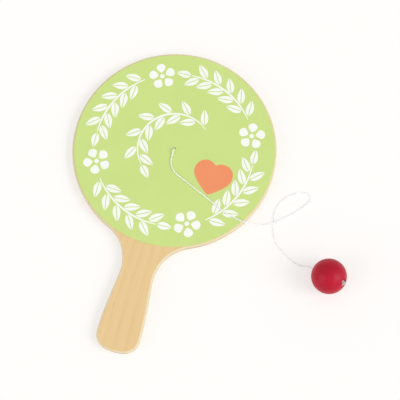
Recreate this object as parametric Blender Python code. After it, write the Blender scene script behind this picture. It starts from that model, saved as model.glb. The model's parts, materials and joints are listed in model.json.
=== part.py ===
# Paddle ball: a flat wooden bat with a printed round face, a thin elastic through the middle of the
# face, and a small rubber ball on the end of the elastic. It lies face up on a table, with the ball
# beside it and the elastic slack. Metres, +Z up, handle towards -Y. The table is at Z = 0, and the
# origin is the middle of the bat and ball's footprint on the table.
import bisect
import math

import bmesh
import bpy
from mathutils import Matrix, Vector

# Bat board. Sizes along the handle are steps, each measured from the one before it.
HEAD_RADIUS = 0.0750
BOARD_THICKNESS = 0.0060
EDGE_ROUND = 0.0013
NECK_FROM_HEAD = 0.0215  # edge of the head to the narrowest place of the handle
NECK_WIDTH = 0.0244
GRIP_FROM_NECK = 0.0456  # narrowest place to the widest
GRIP_WIDTH = 0.0312
GRIP_CORNER_RADIUS = 0.0110
GRIP_END_RADIUS = 0.0330  # the gentle curve across the handle's end
NECK_EASE = 0.0065  # how long the side stays near the neck's width
GRIP_EASE = 0.0200  # how long the side stays near the grip's width

# Face sheet, stuck to the head.
SHEET_RIM = 0.0014  # bare wood left round the sheet
SHEET_THICKNESS = 0.0004
SHEET_SEAT_GAP = 0.0003

# Elastic and its two knots.
CORD_DIAMETER = 0.0009
KNOT_WIDTH = 0.0036
KNOT_HEIGHT = 0.0029
CORD_GAP = 0.0003  # between two stretches of cord, and between cord and what it lies on
TABLE_GAP = 0.0001  # under cord that lies on the table
BEND_RADIUS = 0.0024  # where the cord turns over, out of the hole
BEND_LIFT = 0.00085  # top of that turn above the cord that lies on the face

# Holes in the board for the cord and its knot.
CORD_HOLE_DIAMETER = 0.0020
KNOT_SIDE_GAP = 0.0022  # round the knot in its recess, so that it turns freely
KNOT_SEAT_GAP = 0.0003
KNOT_TABLE_GAP = 0.0003

# Ball, where it lies from the middle of the head, and the hole through it.
BALL_RADIUS = 0.0125
BALL_PLACE = (0.1311, -0.0633)
BORE_HEADING = math.radians(-14.7)  # from +X, seen from above
BORE_RISE = math.radians(30.0)  # the knot's end lies higher than the cord's
BORE_CLEARANCE = 0.0003  # round the cord
KNOT_POCKET_CLEARANCE = 0.0004
KNOT_POCKET_DEPTH = 0.0018

# How finely round shapes are cut.
ARC_STEP = math.radians(3.75)
EDGE_SEGMENTS = 3
EASE_STEPS = 12
HOLE_STEPS = 24
BALL_ARC_STEP = math.radians(6.0)
BALL_TURN_STEPS = 44
KNOT_TURN_STEPS = 16
KNOT_RINGS = 10
CORD_STEP = 0.0029  # between the points of a cord
PATH_SAMPLES = 24  # between two points of the route, before the even spacing
BEND_STEPS = 6

# What follows from those sizes.
CORD_RADIUS = CORD_DIAMETER / 2
FACE_TOP = BOARD_THICKNESS + SHEET_SEAT_GAP + SHEET_THICKNESS
ON_FACE = FACE_TOP + CORD_GAP + CORD_RADIUS  # height of the cord's middle where it lies on the face
ON_TABLE = TABLE_GAP + CORD_RADIUS
OVER_CORD = ON_TABLE + CORD_DIAMETER + CORD_GAP  # where it passes over itself on the table
BEND_TOP = ON_FACE + BEND_LIFT
NECK_Y = -(HEAD_RADIUS + NECK_FROM_HEAD)
GRIP_Y = NECK_Y - GRIP_FROM_NECK
KNOT_RECESS_DEPTH = KNOT_TABLE_GAP + KNOT_HEIGHT + KNOT_SEAT_GAP
KNOT_RECESS_RADIUS = KNOT_WIDTH / 2 + KNOT_SIDE_GAP
CORD_HOLE_RADIUS = CORD_HOLE_DIAMETER / 2
BORE_RADIUS = CORD_RADIUS + BORE_CLEARANCE
KNOT_POCKET_RADIUS = KNOT_WIDTH / 2 + KNOT_POCKET_CLEARANCE
BALL_CENTRE = Vector((*BALL_PLACE, BALL_RADIUS))
BORE_AXIS = Vector(
    (
        math.cos(BORE_RISE) * math.cos(BORE_HEADING),
        math.cos(BORE_RISE) * math.sin(BORE_HEADING),
        math.sin(BORE_RISE),
    )
)

# The free elastic's route, in millimetres from the middle of the head, from the turn out of the hole
# to where it lifts towards the ball. The third value is how high it lies: TABLE, FACE or between them.
TABLE = 0.0
FACE = 1.0
CROSSING = (OVER_CORD - ON_TABLE) / (ON_FACE - ON_TABLE)
ROUTE_MM = [
    (0.0, -5.6, 1.06),
    (0.2, -8.8, FACE),
    (1.0, -11.9, FACE),
    (2.5, -14.7, FACE),
    (4.5, -17.0, FACE),
    (7.2, -18.8, FACE),
    (10.8, -20.3, FACE),
    (21.5, -24.9, FACE),
    (45.5, -35.5, FACE),
    (53.0, -38.2, FACE),
    (60.5, -39.7, FACE),
    (64.5, -39.8, 0.96),
    (69.1, -39.5, 0.75),
    (74.3, -38.3, 0.46),
    (79.4, -36.3, 0.26),
    (83.5, -34.0, CROSSING),
    (87.3, -30.8, 0.11),
    (91.6, -27.0, 0.03),
    (95.8, -22.9, TABLE),
    (104.0, -13.3, TABLE),
    (105.6, -9.4, TABLE),
    (104.6, -6.4, TABLE),
    (101.6, -5.6, TABLE),
    (96.6, -6.8, TABLE),
    (91.8, -9.3, TABLE),
    (87.8, -13.2, TABLE),
    (84.8, -18.0, TABLE),
    (83.3, -23.0, TABLE),
    (84.0, -33.8, TABLE),
    (88.0, -44.7, TABLE),
    (91.7, -49.3, TABLE),
    (97.0, -53.2, TABLE),
    (102.0, -56.1, TABLE),
    (106.2, -58.1, 0.01),
    (110.2, -58.8, 0.04),
    (113.9, -58.5, 0.20),
    (117.2, -58.4, 0.43),
]
BALL_APPROACH = 0.0012  # back from the ball's surface, where the cord already points into the bore
SPLIT_LENGTH = 0.0500  # along the free elastic, where its stretch on the bat ends

# Colours as seen, red, green and blue from 0 to 255.
WOOD_COLOUR = (233, 203, 150)
SHEET_COLOUR = (204, 227, 133)
ELASTIC_COLOUR = (246, 245, 240)
BALL_COLOUR = (190, 24, 44)


def linear(channel):
    """One 0 to 255 channel of a screen colour, as the light value that a shader takes."""
    value = channel / 255
    return value / 12.92 if value <= 0.04045 else ((value + 0.055) / 1.055) ** 2.4


def material(name, colour, roughness):
    made = bpy.data.materials.new(name)
    made.use_nodes = True
    shader = made.node_tree.nodes["Principled BSDF"]
    shader.inputs["Base Color"].default_value = (*[linear(c) for c in colour], 1.0)
    shader.inputs["Roughness"].default_value = roughness
    shader.inputs["Metallic"].default_value = 0.0
    return made


def empty(name, parent, place, turn=None):
    made = bpy.data.objects.new(name, None)
    made.empty_display_size = 0.01
    bpy.context.scene.collection.objects.link(made)
    made.parent = parent
    made.location = place
    if turn is not None:
        made.rotation_euler = turn
    return made


def object_from(name, data, parent, finish):
    made = bpy.data.objects.new(name, data)
    bpy.context.scene.collection.objects.link(made)
    made.parent = parent
    if finish is not None:
        data.materials.append(finish)
    return made


def mesh_from(name, shape):
    """A smooth-shaded mesh of what a bmesh holds."""
    bmesh.ops.recalc_face_normals(shape, faces=shape.faces)
    mesh = bpy.data.meshes.new(name)
    shape.to_mesh(mesh)
    shape.free()
    mesh.shade_smooth()
    mesh.set_sharp_from_angle(angle=math.radians(35))
    return mesh


def arc(centre, radius, start, end, step=ARC_STEP):
    """Points on an arc from one angle to another, both ends included."""
    steps = max(2, math.ceil(abs(end - start) / step))
    angles = [start + (end - start) * i / steps for i in range(steps + 1)]
    return [(centre[0] + radius * math.cos(a), centre[1] + radius * math.sin(a)) for a in angles]


def ease_side():
    """The handle's side from the neck to the grip, one smooth curve that is straight down at both ends."""
    neck, grip = NECK_WIDTH / 2, GRIP_WIDTH / 2
    controls = ((neck, NECK_Y), (neck, NECK_Y - NECK_EASE), (grip, GRIP_Y + GRIP_EASE), (grip, GRIP_Y))
    points = []
    for i in range(1, EASE_STEPS + 1):
        t = i / EASE_STEPS
        weights = ((1 - t) ** 3, 3 * t * (1 - t) ** 2, 3 * t * t * (1 - t), t**3)
        points.append(tuple(sum(w * c[k] for w, c in zip(weights, controls)) for k in (0, 1)))
    return points


def right_side():
    """The bat's outline on its +X side, from the top of the head down to the middle of the handle's end."""
    neck = NECK_WIDTH / 2
    # The fillet touches the head's circle from outside and the neck's side from beside it.
    fillet = (NECK_Y**2 + neck**2 - HEAD_RADIUS**2) / (2 * (HEAD_RADIUS - neck))
    fillet_centre = (neck + fillet, NECK_Y)
    touch = math.atan2(fillet_centre[1], fillet_centre[0])
    # The corner arc lies inside the end's arc and touches it.
    corner_centre = (GRIP_WIDTH / 2 - GRIP_CORNER_RADIUS, GRIP_Y)
    reach = math.sqrt((GRIP_END_RADIUS - GRIP_CORNER_RADIUS) ** 2 - corner_centre[0] ** 2)
    end_centre = (0.0, GRIP_Y + reach)
    corner_end = -math.atan2(reach, corner_centre[0])
    return (
        arc((0.0, 0.0), HEAD_RADIUS, math.pi / 2, touch)
        + arc(fillet_centre, fillet, math.pi + touch, math.pi)[1:]
        + ease_side()
        + arc(corner_centre, GRIP_CORNER_RADIUS, 0.0, corner_end)[1:]
        + arc(end_centre, GRIP_END_RADIUS, corner_end, -math.pi / 2)[1:]
    )


def turned(name, profile, steps):
    """A solid turned about Z from a closed profile of (radius, height) points that stays off the axis."""
    shape = bmesh.new()
    rings = []
    for i in range(steps):
        angle = 2 * math.pi * i / steps
        rings.append([shape.verts.new((r * math.cos(angle), r * math.sin(angle), z)) for r, z in profile])
    for i in range(steps):
        here, after = rings[i], rings[(i + 1) % steps]
        for j in range(len(profile)):
            k = (j + 1) % len(profile)
            shape.faces.new((here[j], after[j], after[k], here[k]))
    return mesh_from(name, shape)


def board_mesh():
    right = right_side()
    left = [(-x, y) for x, y in reversed(right[1:-1])]
    shape = bmesh.new()
    floor = shape.faces.new([shape.verts.new((x, y, 0.0)) for x, y in right + left])
    raised = bmesh.ops.extrude_face_region(shape, geom=[floor])
    top = [v for v in raised["geom"] if isinstance(v, bmesh.types.BMVert)]
    bmesh.ops.translate(shape, verts=top, vec=(0.0, 0.0, BOARD_THICKNESS))
    return mesh_from("bat_board", shape)


def hole_cutter_mesh():
    """The cord's hole with the wider recess for the knot under it, longer than the board is thick."""
    past = BOARD_THICKNESS / 2
    profile = [
        (KNOT_RECESS_RADIUS, -past),
        (KNOT_RECESS_RADIUS, KNOT_RECESS_DEPTH),
        (CORD_HOLE_RADIUS, KNOT_RECESS_DEPTH),
        (CORD_HOLE_RADIUS, BOARD_THICKNESS + past),
    ]
    shape = bmesh.new()
    rings = []
    for radius, height in profile:
        angles = [2 * math.pi * i / HOLE_STEPS for i in range(HOLE_STEPS)]
        rings.append([shape.verts.new((radius * math.cos(a), radius * math.sin(a), height)) for a in angles])
    for below, above in zip(rings, rings[1:]):
        for i in range(HOLE_STEPS):
            k = (i + 1) % HOLE_STEPS
            shape.faces.new((below[i], below[k], above[k], above[i]))
    shape.faces.new(list(reversed(rings[0])))
    shape.faces.new(rings[-1])
    return mesh_from("hole_cutter", shape)


def sheet_mesh():
    outer = HEAD_RADIUS - SHEET_RIM
    low = BOARD_THICKNESS + SHEET_SEAT_GAP
    profile = [(CORD_HOLE_RADIUS, low), (outer, low), (outer, FACE_TOP), (CORD_HOLE_RADIUS, FACE_TOP)]
    return turned("face_sheet", profile, round(2 * math.pi / ARC_STEP))


def ball_mesh():
    """The ball about its own bore, with the cord's end down and the knot's pocket up."""
    mouth = -math.acos(BORE_RADIUS / BALL_RADIUS)
    pocket = math.acos(KNOT_POCKET_RADIUS / BALL_RADIUS)
    floor = BALL_RADIUS - KNOT_POCKET_DEPTH
    skin = arc((0.0, 0.0), BALL_RADIUS, mouth, pocket, BALL_ARC_STEP)
    return turned("ball", skin + [(KNOT_POCKET_RADIUS, floor), (BORE_RADIUS, floor)], BALL_TURN_STEPS)


def knot_mesh(name):
    shape = bmesh.new()
    bmesh.ops.create_uvsphere(
        shape, u_segments=KNOT_TURN_STEPS, v_segments=KNOT_RINGS, radius=KNOT_WIDTH / 2
    )
    bmesh.ops.scale(shape, verts=shape.verts, vec=(1.0, 1.0, KNOT_HEIGHT / KNOT_WIDTH))
    return mesh_from(name, shape)


def smooth_path(points):
    """A dense smooth curve through the points, which are eased by the distances between them."""
    ends = [points[0] * 2 - points[1], *points, points[-1] * 2 - points[-2]]
    path = []
    for a, b, c, d in zip(ends, ends[1:], ends[2:], ends[3:]):
        ab, bc, cd = (math.sqrt((q - p).length) for p, q in ((a, b), (b, c), (c, d)))
        leave = (b - a) / ab - (c - a) / (ab + bc) + (c - b) / bc
        reach = (c - b) / bc - (d - b) / (bc + cd) + (d - c) / cd
        leave, reach = leave * bc, reach * bc
        for i in range(PATH_SAMPLES):
            t = i / PATH_SAMPLES
            path.append(
                b * (2 * t**3 - 3 * t**2 + 1)
                + leave * (t**3 - 2 * t**2 + t)
                + c * (3 * t**2 - 2 * t**3)
                + reach * (t**3 - t**2)
            )
    return [*path, points[-1]]


def lengths_along(path):
    total, lengths = 0.0, [0.0]
    for a, b in zip(path, path[1:]):
        total += (b - a).length
        lengths.append(total)
    return lengths


def stretch_of(path, start, end):
    """Evenly spaced points of a path between two lengths along it."""
    lengths = lengths_along(path)
    count = max(1, round((end - start) / CORD_STEP))
    points = []
    for i in range(count + 1):
        want = start + (end - start) * i / count
        k = min(max(bisect.bisect_right(lengths, want) - 1, 0), len(path) - 2)
        share = (want - lengths[k]) / (lengths[k + 1] - lengths[k])
        points.append(path[k].lerp(path[k + 1], share))
    return points


def cord(name, points, pivot, parent, finish):
    """A round tube along the points, with its origin at pivot."""
    data = bpy.data.curves.new(name, "CURVE")
    data.dimensions = "3D"
    data.bevel_depth = CORD_RADIUS
    data.bevel_resolution = 2
    data.use_fill_caps = True
    spline = data.splines.new("POLY")
    spline.points.add(len(points) - 1)
    for node, point in zip(spline.points, points):
        node.co = (*(point - pivot), 1.0)
    made = object_from(name, data, parent, finish)
    made.location = pivot
    return made


def bend_points():
    """Up the hole from the knot and over to lie towards the handle."""
    foot = Vector((0.0, 0.0, KNOT_TABLE_GAP + KNOT_HEIGHT + CORD_GAP))
    centre = Vector((0.0, -BEND_RADIUS, BEND_TOP - BEND_RADIUS))
    points = [foot]
    for i in range(BEND_STEPS + 1):
        angle = math.pi / 2 * i / BEND_STEPS
        points.append(centre + BEND_RADIUS * Vector((0.0, math.cos(angle), math.sin(angle))))
    return points


def free_path():
    """The free elastic from the turn out of the hole to the ball's surface."""
    start = Vector((0.0, -BEND_RADIUS - CORD_GAP, BEND_TOP))
    rise = ON_FACE - ON_TABLE
    middle = [Vector((x / 1000, y / 1000, ON_TABLE + level * rise)) for x, y, level in ROUTE_MM]
    surface = BALL_CENTRE - BORE_AXIS * BALL_RADIUS
    approach = [surface - BORE_AXIS * back for back in (BALL_APPROACH, CORD_GAP)]
    return smooth_path([start, *middle, *approach])


def main():
    for old in list(bpy.data.objects):
        bpy.data.objects.remove(old, do_unlink=True)

    wood = material("wood", WOOD_COLOUR, 0.55)
    film = material("printed_film", SHEET_COLOUR, 0.5)
    elastic = material("elastic", ELASTIC_COLOUR, 0.8)
    rubber = material("red_rubber", BALL_COLOUR, 0.45)

    # The footprint runs from the head's left edge to the ball, and from the head's top to the grip's end.
    grip_end = right_side()[-1][1]
    middle_x = (BALL_CENTRE.x + BALL_RADIUS - HEAD_RADIUS) / 2
    middle_y = (HEAD_RADIUS + grip_end) / 2
    toy = empty("paddle_ball", None, (-middle_x, -middle_y, 0.0))

    cutter = object_from("hole_cutter", hole_cutter_mesh(), toy, None)
    cutter.hide_render = True
    cutter.display_type = "WIRE"

    board = object_from("bat_board", board_mesh(), toy, wood)
    rounding = board.modifiers.new("edge_round", "BEVEL")
    rounding.limit_method = "ANGLE"
    rounding.angle_limit = math.radians(60)
    rounding.width = EDGE_ROUND
    rounding.segments = EDGE_SEGMENTS
    hole = board.modifiers.new("cord_hole", "BOOLEAN")
    hole.operation = "DIFFERENCE"
    hole.solver = "EXACT"
    hole.object = cutter

    object_from("face_sheet", sheet_mesh(), toy, film)

    # The knot and the stretch in the hole turn about the hole's axis.
    hole_axis = Vector((0.0, 0.0, 0.0))
    anchor_knot = object_from("anchor_knot", knot_mesh("anchor_knot"), toy, elastic)
    anchor_knot.location = hole_axis + Vector((0.0, 0.0, KNOT_TABLE_GAP + KNOT_HEIGHT / 2))
    cord("elastic_in_bat", bend_points(), hole_axis, toy, elastic)

    # The free elastic lifts about a line through the turn's end, along the handle.
    path = free_path()
    whole = lengths_along(path)[-1]
    lift_pivot = Vector((0.0, 0.0, BEND_TOP))
    cord("elastic_on_bat", stretch_of(path, 0.0, SPLIT_LENGTH), lift_pivot, toy, elastic)
    cord("elastic_to_ball", stretch_of(path, SPLIT_LENGTH + CORD_GAP, whole), BALL_CENTRE, toy, elastic)

    # The ball turns about its bore, which is its own Z.
    bore_turn = Matrix.Rotation(BORE_HEADING, 4, "Z") @ Matrix.Rotation(math.pi / 2 - BORE_RISE, 4, "Y")
    spin = empty("ball_spin", toy, BALL_CENTRE, bore_turn.to_euler())
    object_from("ball", ball_mesh(), spin, rubber)
    knot_low = BALL_RADIUS - KNOT_POCKET_DEPTH + KNOT_SEAT_GAP
    origin = Vector((0.0, 0.0, 0.0))
    ends = [Vector((0.0, 0.0, -BALL_RADIUS)), Vector((0.0, 0.0, knot_low - CORD_GAP))]
    cord("elastic_in_ball", ends, origin, spin, elastic)
    ball_knot = object_from("ball_knot", knot_mesh("ball_knot"), spin, elastic)
    ball_knot.location = (0.0, 0.0, knot_low + KNOT_HEIGHT / 2)

    pull = Vector((*BALL_PLACE, 0.0)).normalized()
    print("footprint middle from the head's middle, mm:", round(middle_x * 1000, 3), round(middle_y * 1000, 3))
    print("free elastic, mm:", round(whole * 1000, 1))
    print("pull direction:", [round(v, 5) for v in pull], "bore axis:", [round(v, 5) for v in BORE_AXIS])


main()
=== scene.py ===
# %% [markdown]
# A paddle ball is a small wooden bat, a thin elastic through the middle of its face, and a rubber ball
# on the elastic's other end. The imported model is the fixed frame here: it holds each piece at its real
# size and place. The notebook makes the fine piece and the finish for each of them, and never moves
# the frame. The frame's box is kept, and its size is printed beside the finished toy's in the last cell.

# %% Load the frame
import json
import math

import bpy
import numpy as np
from mathutils import Matrix, Vector
from mathutils.geometry import tessellate_polygon


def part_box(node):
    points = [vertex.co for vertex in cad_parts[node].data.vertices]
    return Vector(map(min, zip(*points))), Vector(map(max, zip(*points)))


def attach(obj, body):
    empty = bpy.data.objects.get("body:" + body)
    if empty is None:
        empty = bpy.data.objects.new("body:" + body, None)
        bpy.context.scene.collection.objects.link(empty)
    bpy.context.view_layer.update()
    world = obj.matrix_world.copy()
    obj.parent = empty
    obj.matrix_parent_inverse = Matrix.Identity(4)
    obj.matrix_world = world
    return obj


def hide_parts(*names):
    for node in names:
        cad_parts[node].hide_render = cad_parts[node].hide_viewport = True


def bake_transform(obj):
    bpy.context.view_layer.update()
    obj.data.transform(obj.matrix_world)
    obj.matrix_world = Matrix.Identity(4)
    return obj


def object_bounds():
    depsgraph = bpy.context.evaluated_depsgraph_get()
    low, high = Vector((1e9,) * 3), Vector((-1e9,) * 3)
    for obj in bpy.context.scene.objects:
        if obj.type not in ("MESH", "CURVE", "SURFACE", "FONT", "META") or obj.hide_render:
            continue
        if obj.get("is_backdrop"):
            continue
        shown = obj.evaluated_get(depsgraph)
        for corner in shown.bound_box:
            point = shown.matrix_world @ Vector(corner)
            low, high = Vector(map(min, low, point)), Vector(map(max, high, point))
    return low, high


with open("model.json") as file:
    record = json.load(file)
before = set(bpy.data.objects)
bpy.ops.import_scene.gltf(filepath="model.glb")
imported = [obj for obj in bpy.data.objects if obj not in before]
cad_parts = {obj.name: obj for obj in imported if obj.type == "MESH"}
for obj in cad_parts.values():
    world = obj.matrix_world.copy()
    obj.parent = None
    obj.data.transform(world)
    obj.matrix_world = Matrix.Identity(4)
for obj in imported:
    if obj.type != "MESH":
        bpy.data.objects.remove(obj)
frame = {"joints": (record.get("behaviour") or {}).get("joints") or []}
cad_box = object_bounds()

# %% [markdown]
# The sizes come from the frame where it has them. The face sheet is a plain disc, so the middle of its
# box is the middle of the bat's head. The ball's joint gives its centre and the way its hole runs, and
# since the ball lies on the table, its radius is the height of its centre.

# %% Read the driving sizes
board_low, board_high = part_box("bat_board")
sheet_low, sheet_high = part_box("face_sheet")
HEAD = Vector(((sheet_low.x + sheet_high.x) / 2, (sheet_low.y + sheet_high.y) / 2, 0.0))
HEAD_RADIUS = board_high.y - HEAD.y
BOARD_THICKNESS = board_high.z - board_low.z
SHEET_RADIUS = sheet_high.x - HEAD.x
SHEET_THICKNESS = sheet_high.z - sheet_low.z
joints = {joint["name"]: joint for joint in frame["joints"]}
BALL = Vector(joints["ball_spin"]["pos_m"])
BORE = Vector(joints["ball_spin"]["axis"]).normalized()
BALL_RADIUS = BALL.z
BEND_TOP = joints["ball_lift"]["pos_m"][2]
CORD_DIAMETER = 0.0009
CORD_RADIUS = CORD_DIAMETER / 2
FACE = BOARD_THICKNESS + SHEET_THICKNESS  # the sheet lies right on the board
driving = (HEAD_RADIUS, BOARD_THICKNESS, BALL_RADIUS)
print("head radius, board, ball radius, mm:", [round(v * 1000, 2) for v in driving])

# %% [markdown]
# The photograph looks down on the table from nearly above. The round face shows as an ellipse, and its
# flattening gives the tilt: 15 degrees from straight down. A long lens fits how little the far side
# shrinks. The camera stands about 0.7 m over the table and is turned a little about its own line.

# %% Place the camera
CAMERA_PLACE = (0.0533, -0.1721, 0.7031)
CAMERA_HEADING = math.radians(18.25)
CAMERA_TILT = math.radians(15.12)
CAMERA_ROLL = math.radians(-2.65)
LENS_MM = 90.0
SENSOR_MM = 36.0

camera_data = bpy.data.cameras.new("camera")
camera_data.lens = LENS_MM
camera_data.sensor_width = SENSOR_MM
camera = bpy.data.objects.new("camera", camera_data)
bpy.context.scene.collection.objects.link(camera)
turn = Matrix.Rotation(CAMERA_HEADING, 4, "Z") @ Matrix.Rotation(CAMERA_TILT, 4, "X")
camera.matrix_world = Matrix.Translation(CAMERA_PLACE) @ turn @ Matrix.Rotation(CAMERA_ROLL, 4, "Z")
bpy.context.scene.camera = camera
print("camera looks along", [round(v, 3) for v in turn @ Vector((0.0, 0.0, -1.0))])

# %% [markdown]
# Shader maths is written as sums. A Wire is what comes out of a node, and a sum with it adds the Math
# node that does it, also when a plain number stands first. A Paint holds the nodes of one material, or
# of the world. Its node method makes any node: the type, then the settings, because these can change
# the sockets, then the values or wires of the sockets. Numbers alone are worked out in Python.

# %% Short ways to write shaders
class Wire:
    """What comes out of a node. A sum written with it becomes Math nodes."""

    def __init__(self, paint, socket):
        self.paint = paint
        self.socket = socket

    def math(self, operation, *others):
        inputs = dict(enumerate((self, *others)))
        return self.paint.node("ShaderNodeMath", {"operation": operation}, inputs)

    def after(self, operation, number):
        return self.paint.node("ShaderNodeMath", {"operation": operation}, {0: number, 1: self})

    def __add__(self, other):
        return self.math("ADD", other)

    def __radd__(self, other):
        return self.after("ADD", other)

    def __sub__(self, other):
        return self.math("SUBTRACT", other)

    def __rsub__(self, other):
        return self.after("SUBTRACT", other)

    def __mul__(self, other):
        return self.math("MULTIPLY", other)

    def __rmul__(self, other):
        return self.after("MULTIPLY", other)

    def rise(self, low, high):
        """0 below low, 1 above high, and a smooth rise between them."""
        inputs = {"Value": self, "From Min": low, "From Max": high}
        return self.paint.node("ShaderNodeMapRange", {"interpolation_type": "SMOOTHSTEP"}, inputs)


SOCKETS = {"ior": "IOR"}  # the one socket here whose name is not plain words with capitals


class Paint:
    """The nodes of one material or world, and short ways to build them."""

    def __init__(self, owner):
        owner.use_nodes = True
        self.owner = owner
        self.tree = owner.node_tree

    def feed(self, socket, value):
        if isinstance(value, Wire):
            self.tree.links.new(value.socket, socket)
        else:
            socket.default_value = value

    def node(self, kind, settings=None, inputs=None, output=0):
        made = self.tree.nodes.new(kind)
        for name, value in (settings or {}).items():
            setattr(made, name, value)
        for name, value in (inputs or {}).items():
            self.feed(made.inputs[name], value)
        return Wire(self, made.outputs[output])

    def noise(self, place, scale, detail=2.0):
        """Cloudy noise about 0.5. A scale of three numbers stretches it, and is in cycles a metre."""
        spread = self.node("ShaderNodeMapping", None, {"Vector": place, "Scale": scale})
        return self.node("ShaderNodeTexNoise", None, {"Vector": spread, "Scale": 1.0, "Detail": detail})

    def mixed(self, share, first, second):
        """A colour between two, by share."""
        inputs = {0: share, 6: first, 7: second}
        return self.node("ShaderNodeMix", {"data_type": "RGBA"}, inputs, output=2)

    def bump(self, height, depth):
        return self.node("ShaderNodeBump", None, {"Height": height, "Strength": 1.0, "Distance": depth})

    def shown(self):
        """1 for the rays that only show a thing: from the camera, mirrored or through glass."""
        rays = self.node("ShaderNodeLightPath").socket.node.outputs
        shown = Wire(self, rays["Is Camera Ray"]) + Wire(self, rays["Is Glossy Ray"])
        return shown + Wire(self, rays["Is Transmission Ray"])

    def set(self, **sockets):
        """Feeds the main shader's sockets, such as base_color, and gives the finished material."""
        shader = self.tree.nodes["Principled BSDF"]
        for name, value in sockets.items():
            self.feed(shader.inputs[SOCKETS.get(name, name.replace("_", " ").title())], value)
        return self.owner

    def end_in(self, output, factor, first, second):
        """Ends in a mix of two shaders instead, and gives the finished material or world."""
        mix = self.node("ShaderNodeMixShader", None, {0: factor, 1: first, 2: second})
        self.feed(self.tree.nodes[output].inputs["Surface"], mix)
        return self.owner


def seen(red, green, blue):
    """A screen colour, 0 to 255, as the light values that a shader takes."""
    channels = [c / 255 for c in (red, green, blue)]
    return (*[c / 12.92 if c <= 0.04045 else ((c + 0.055) / 1.055) ** 2.4 for c in channels], 1.0)


WHITE = seen(255, 255, 255)
print("white as light:", [round(v, 2) for v in WHITE])

# %% [markdown]
# Every piece below ends as a mesh with one material. Meshes worked out point by point are easier to
# get right than modelled ones when a formula knows the shape, as it does for a turned ball, a tube or
# a bat's outline. One helper turns points and faces into an object, smooth but for its real corners.

# %% Make a piece from points and faces
CORNER_ANGLE = math.radians(38)


def piece_from(name, points, faces, finish):
    mesh = bpy.data.meshes.new(name)
    mesh.from_pydata([tuple(p) for p in points], [], faces)
    mesh.materials.append(finish)
    mesh.shade_smooth()
    mesh.set_sharp_from_angle(angle=CORNER_ANGLE)
    made = bpy.data.objects.new(name, mesh)
    bpy.context.scene.collection.objects.link(made)
    print(name, "has", len(mesh.polygons), "faces")
    return made


def ring_faces(rings, count, closed=False):
    """The faces between rings of points, each of count points, one ring after the other."""
    faces = []
    for i in range(rings if closed else rings - 1):
        here, after = i * count, (i + 1) % rings * count
        for k in range(count):
            m = (k + 1) % count
            faces.append((here + k, here + m, after + m, after + k))
    return faces


# %% [markdown]
# The elastic is a rubber core in a white braided cover, 0.9 mm thick. Two sets of threads wind round
# it, one each way, and cross in small diamonds. Two slanted sine waves, multiplied, give that relief.
# They are drawn on the tube's own UV map, so the braid stretches with the elastic. Light enters thin
# white thread and spreads inside it, so its shaded side stays pale, and subsurface scattering gives
# that. The knots are of the same thread, painted greyer all over: a painted shade, because they sit
# in a recess or a pocket.

# %% Finish the elastic
CORD_MAP = "cord"
BRAID_THREADS = 7
BRAID_DEPTH = 0.00003
LIGHT_REACH = 0.001  # how far light spreads inside the thread


def braid_finish(name, light_thread, soiled_thread, gap):
    paint = Paint(bpy.data.materials.new(name))
    place = paint.node("ShaderNodeUVMap", {"uv_map": CORD_MAP})
    parts = paint.node("ShaderNodeSeparateXYZ", None, {0: place}).socket.node
    round_it = Wire(paint, parts.outputs["X"])
    along = Wire(paint, parts.outputs["Y"])
    half_turn = math.pi * BRAID_THREADS
    one_way = ((round_it + along) * half_turn).math("SINE").math("ABSOLUTE")
    other_way = ((round_it - along) * half_turn).math("SINE").math("ABSOLUTE")
    threads = one_way * other_way
    object_place = paint.node("ShaderNodeTexCoord", output="Object")
    soil = paint.noise(object_place, (180.0, 180.0, 180.0), 3.0)
    thread_colour = paint.mixed(soil.rise(0.35, 0.75), light_thread, soiled_thread)
    colour = paint.mixed(threads.rise(0.05, 0.35), gap, thread_colour)
    return paint.set(
        base_color=colour,
        roughness=0.82 - 0.12 * threads,
        normal=paint.bump(threads, BRAID_DEPTH),
        subsurface_weight=1.0,
        subsurface_radius=(1.0, 1.0, 1.0),
        subsurface_scale=LIGHT_REACH,
    )


clean_elastic = braid_finish("clean_elastic", seen(255, 254, 253), seen(252, 251, 249), seen(243, 242, 238))
# painted shade: the knots' braid, the same thread in darker tones
knot_painted_shade_elastic = braid_finish(
    "knot_painted_shade_elastic", seen(216, 208, 203), seen(196, 186, 180), seen(176, 164, 158)
)
print(clean_elastic.name, "has", len(clean_elastic.node_tree.nodes), "nodes")

# %% [markdown]
# A cord is a tube that follows a line. Each ring of points is turned as little as possible from the
# one before it, so the tube doesn't twist on itself. The UV map counts turns round the tube and, in
# the same unit, how far along it a point is, which keeps the braid's diamonds square.

# %% Make a tube along a line
CORD_SIDES = 12
SIDE_START = (0.31, 0.95, 0.07)  # no cord sets out this way, so the first ring's side is clear


def unit(vectors):
    return vectors / np.linalg.norm(vectors, axis=-1, keepdims=True)


def lengths_along(line):
    return np.concatenate([[0.0], np.cumsum(np.linalg.norm(np.diff(line, axis=0), axis=1))])


def spaced(line, count):
    """The same line with this many points, evenly spaced."""
    along = lengths_along(line)
    places = np.linspace(0.0, along[-1], count)
    return np.stack([np.interp(places, along, line[:, k]) for k in range(3)], axis=1)


def evenly(line, step):
    """The same line with a point about every step."""
    return spaced(line, max(2, round(lengths_along(line)[-1] / step) + 1))


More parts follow.
